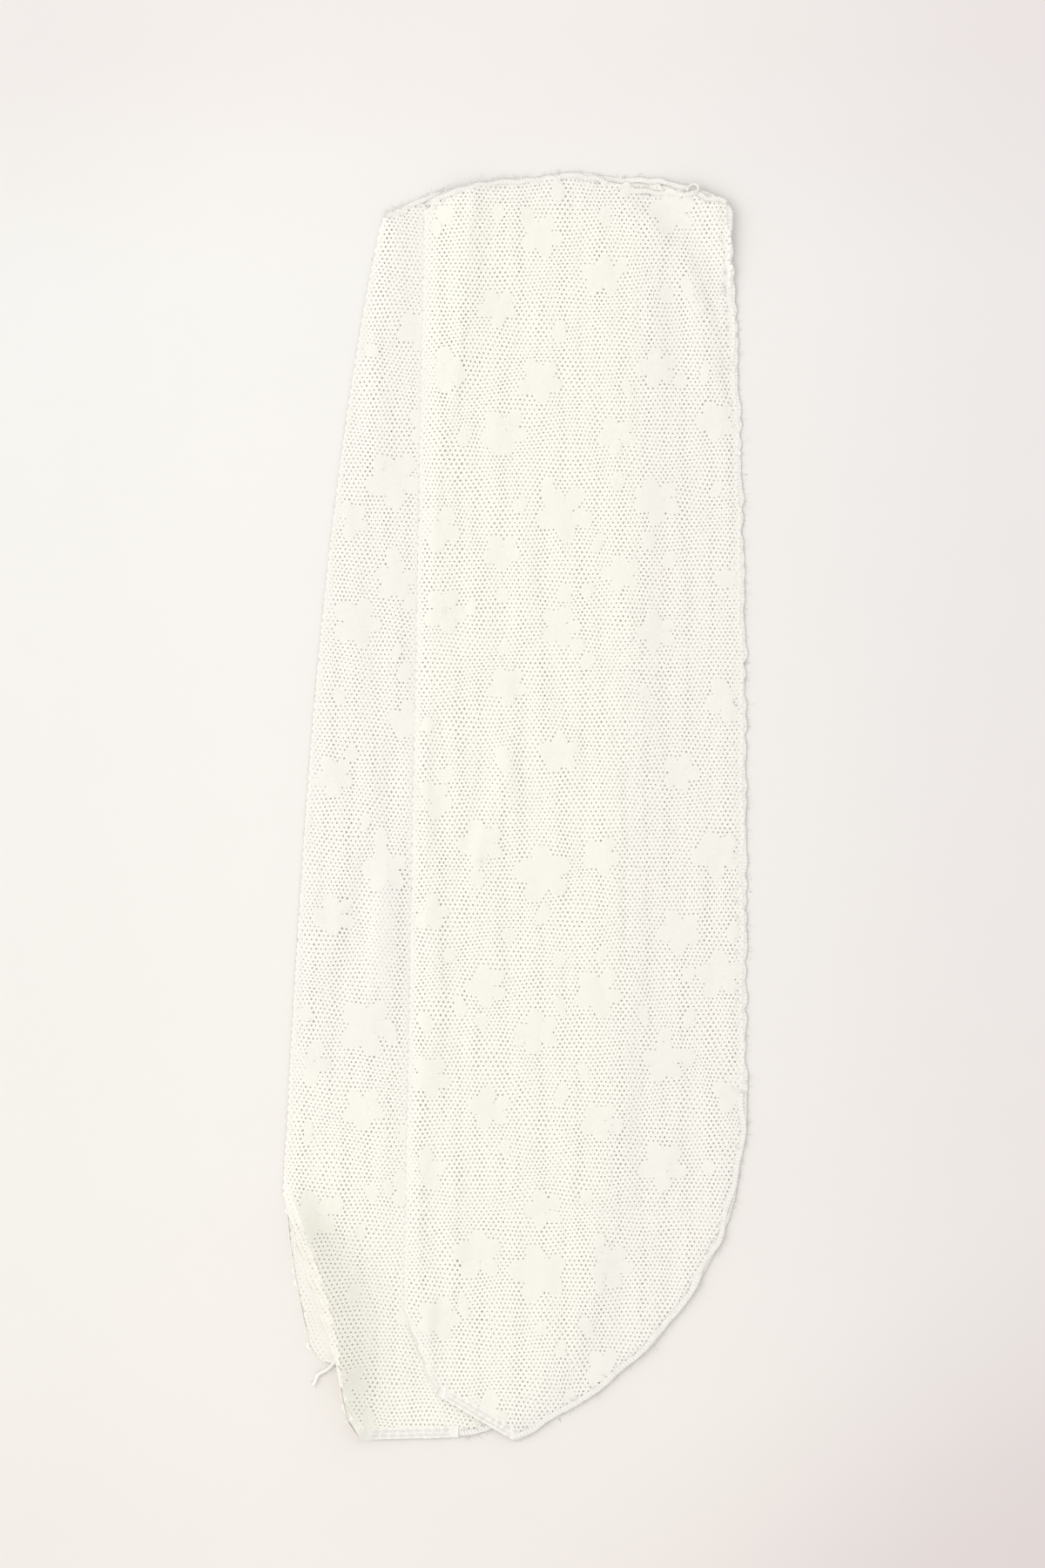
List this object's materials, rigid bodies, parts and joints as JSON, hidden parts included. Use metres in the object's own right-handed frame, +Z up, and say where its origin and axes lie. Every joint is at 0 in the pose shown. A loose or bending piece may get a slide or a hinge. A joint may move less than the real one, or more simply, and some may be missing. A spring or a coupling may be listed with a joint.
{
  "type": "pair of long fingerless lace gloves",
  "caption": "Pair of long fingerless bridal gloves in ivory floral stretch lace, each folded flat with an overlocked side seam, one laid on the other.",
  "frame": {"origin": "middle of the pair's bounding box, on the table that it lies on", "axes": "+Y along the arms towards the hand openings, +X from the folded sides towards the side seams, +Z up off the table"},
  "size_m": [0.1494, 0.408, 0.0052],
  "materials": {
    "ivory_lace": "soft matt ivory stretch lace, with a hexagonal net ground, scalloped stripes and five-petal flowers",
    "overlock_thread": "fluffy matt white overlock thread",
    "hem_lace": "matt ivory lace, doubled over",
    "stitch_thread": "smooth white sewing thread",
    "loose_thread": "fuzzy off-white thread chain"
  },
  "bodies": {
    "lower_glove": {"lower_lace_front": "ivory_lace", "lower_lace_back": "ivory_lace", "lower_lace_fold": "ivory_lace", "lower_side_seam": "overlock_thread", "lower_hand_edge": "overlock_thread", "lower_arm_edge": "overlock_thread", "lower_hem_band": "hem_lace", "lower_hem_topstitch": "stitch_thread", "lower_thread_tail": "loose_thread"},
    "upper_glove": {"upper_lace_front": "ivory_lace", "upper_lace_back": "ivory_lace", "upper_lace_fold": "ivory_lace", "upper_side_seam": "overlock_thread", "upper_hand_edge": "overlock_thread", "upper_arm_edge": "overlock_thread", "upper_hem_band": "hem_lace", "upper_hem_topstitch": "stitch_thread", "upper_thread_tail": "loose_thread"}
  },
  "joints": [
    {"name": "upper_glove_lift", "type": "slide", "parent": "lower_glove", "child": "upper_glove", "axis": [0, 0, 1], "range_m": [0, 0.06]}
  ]
}
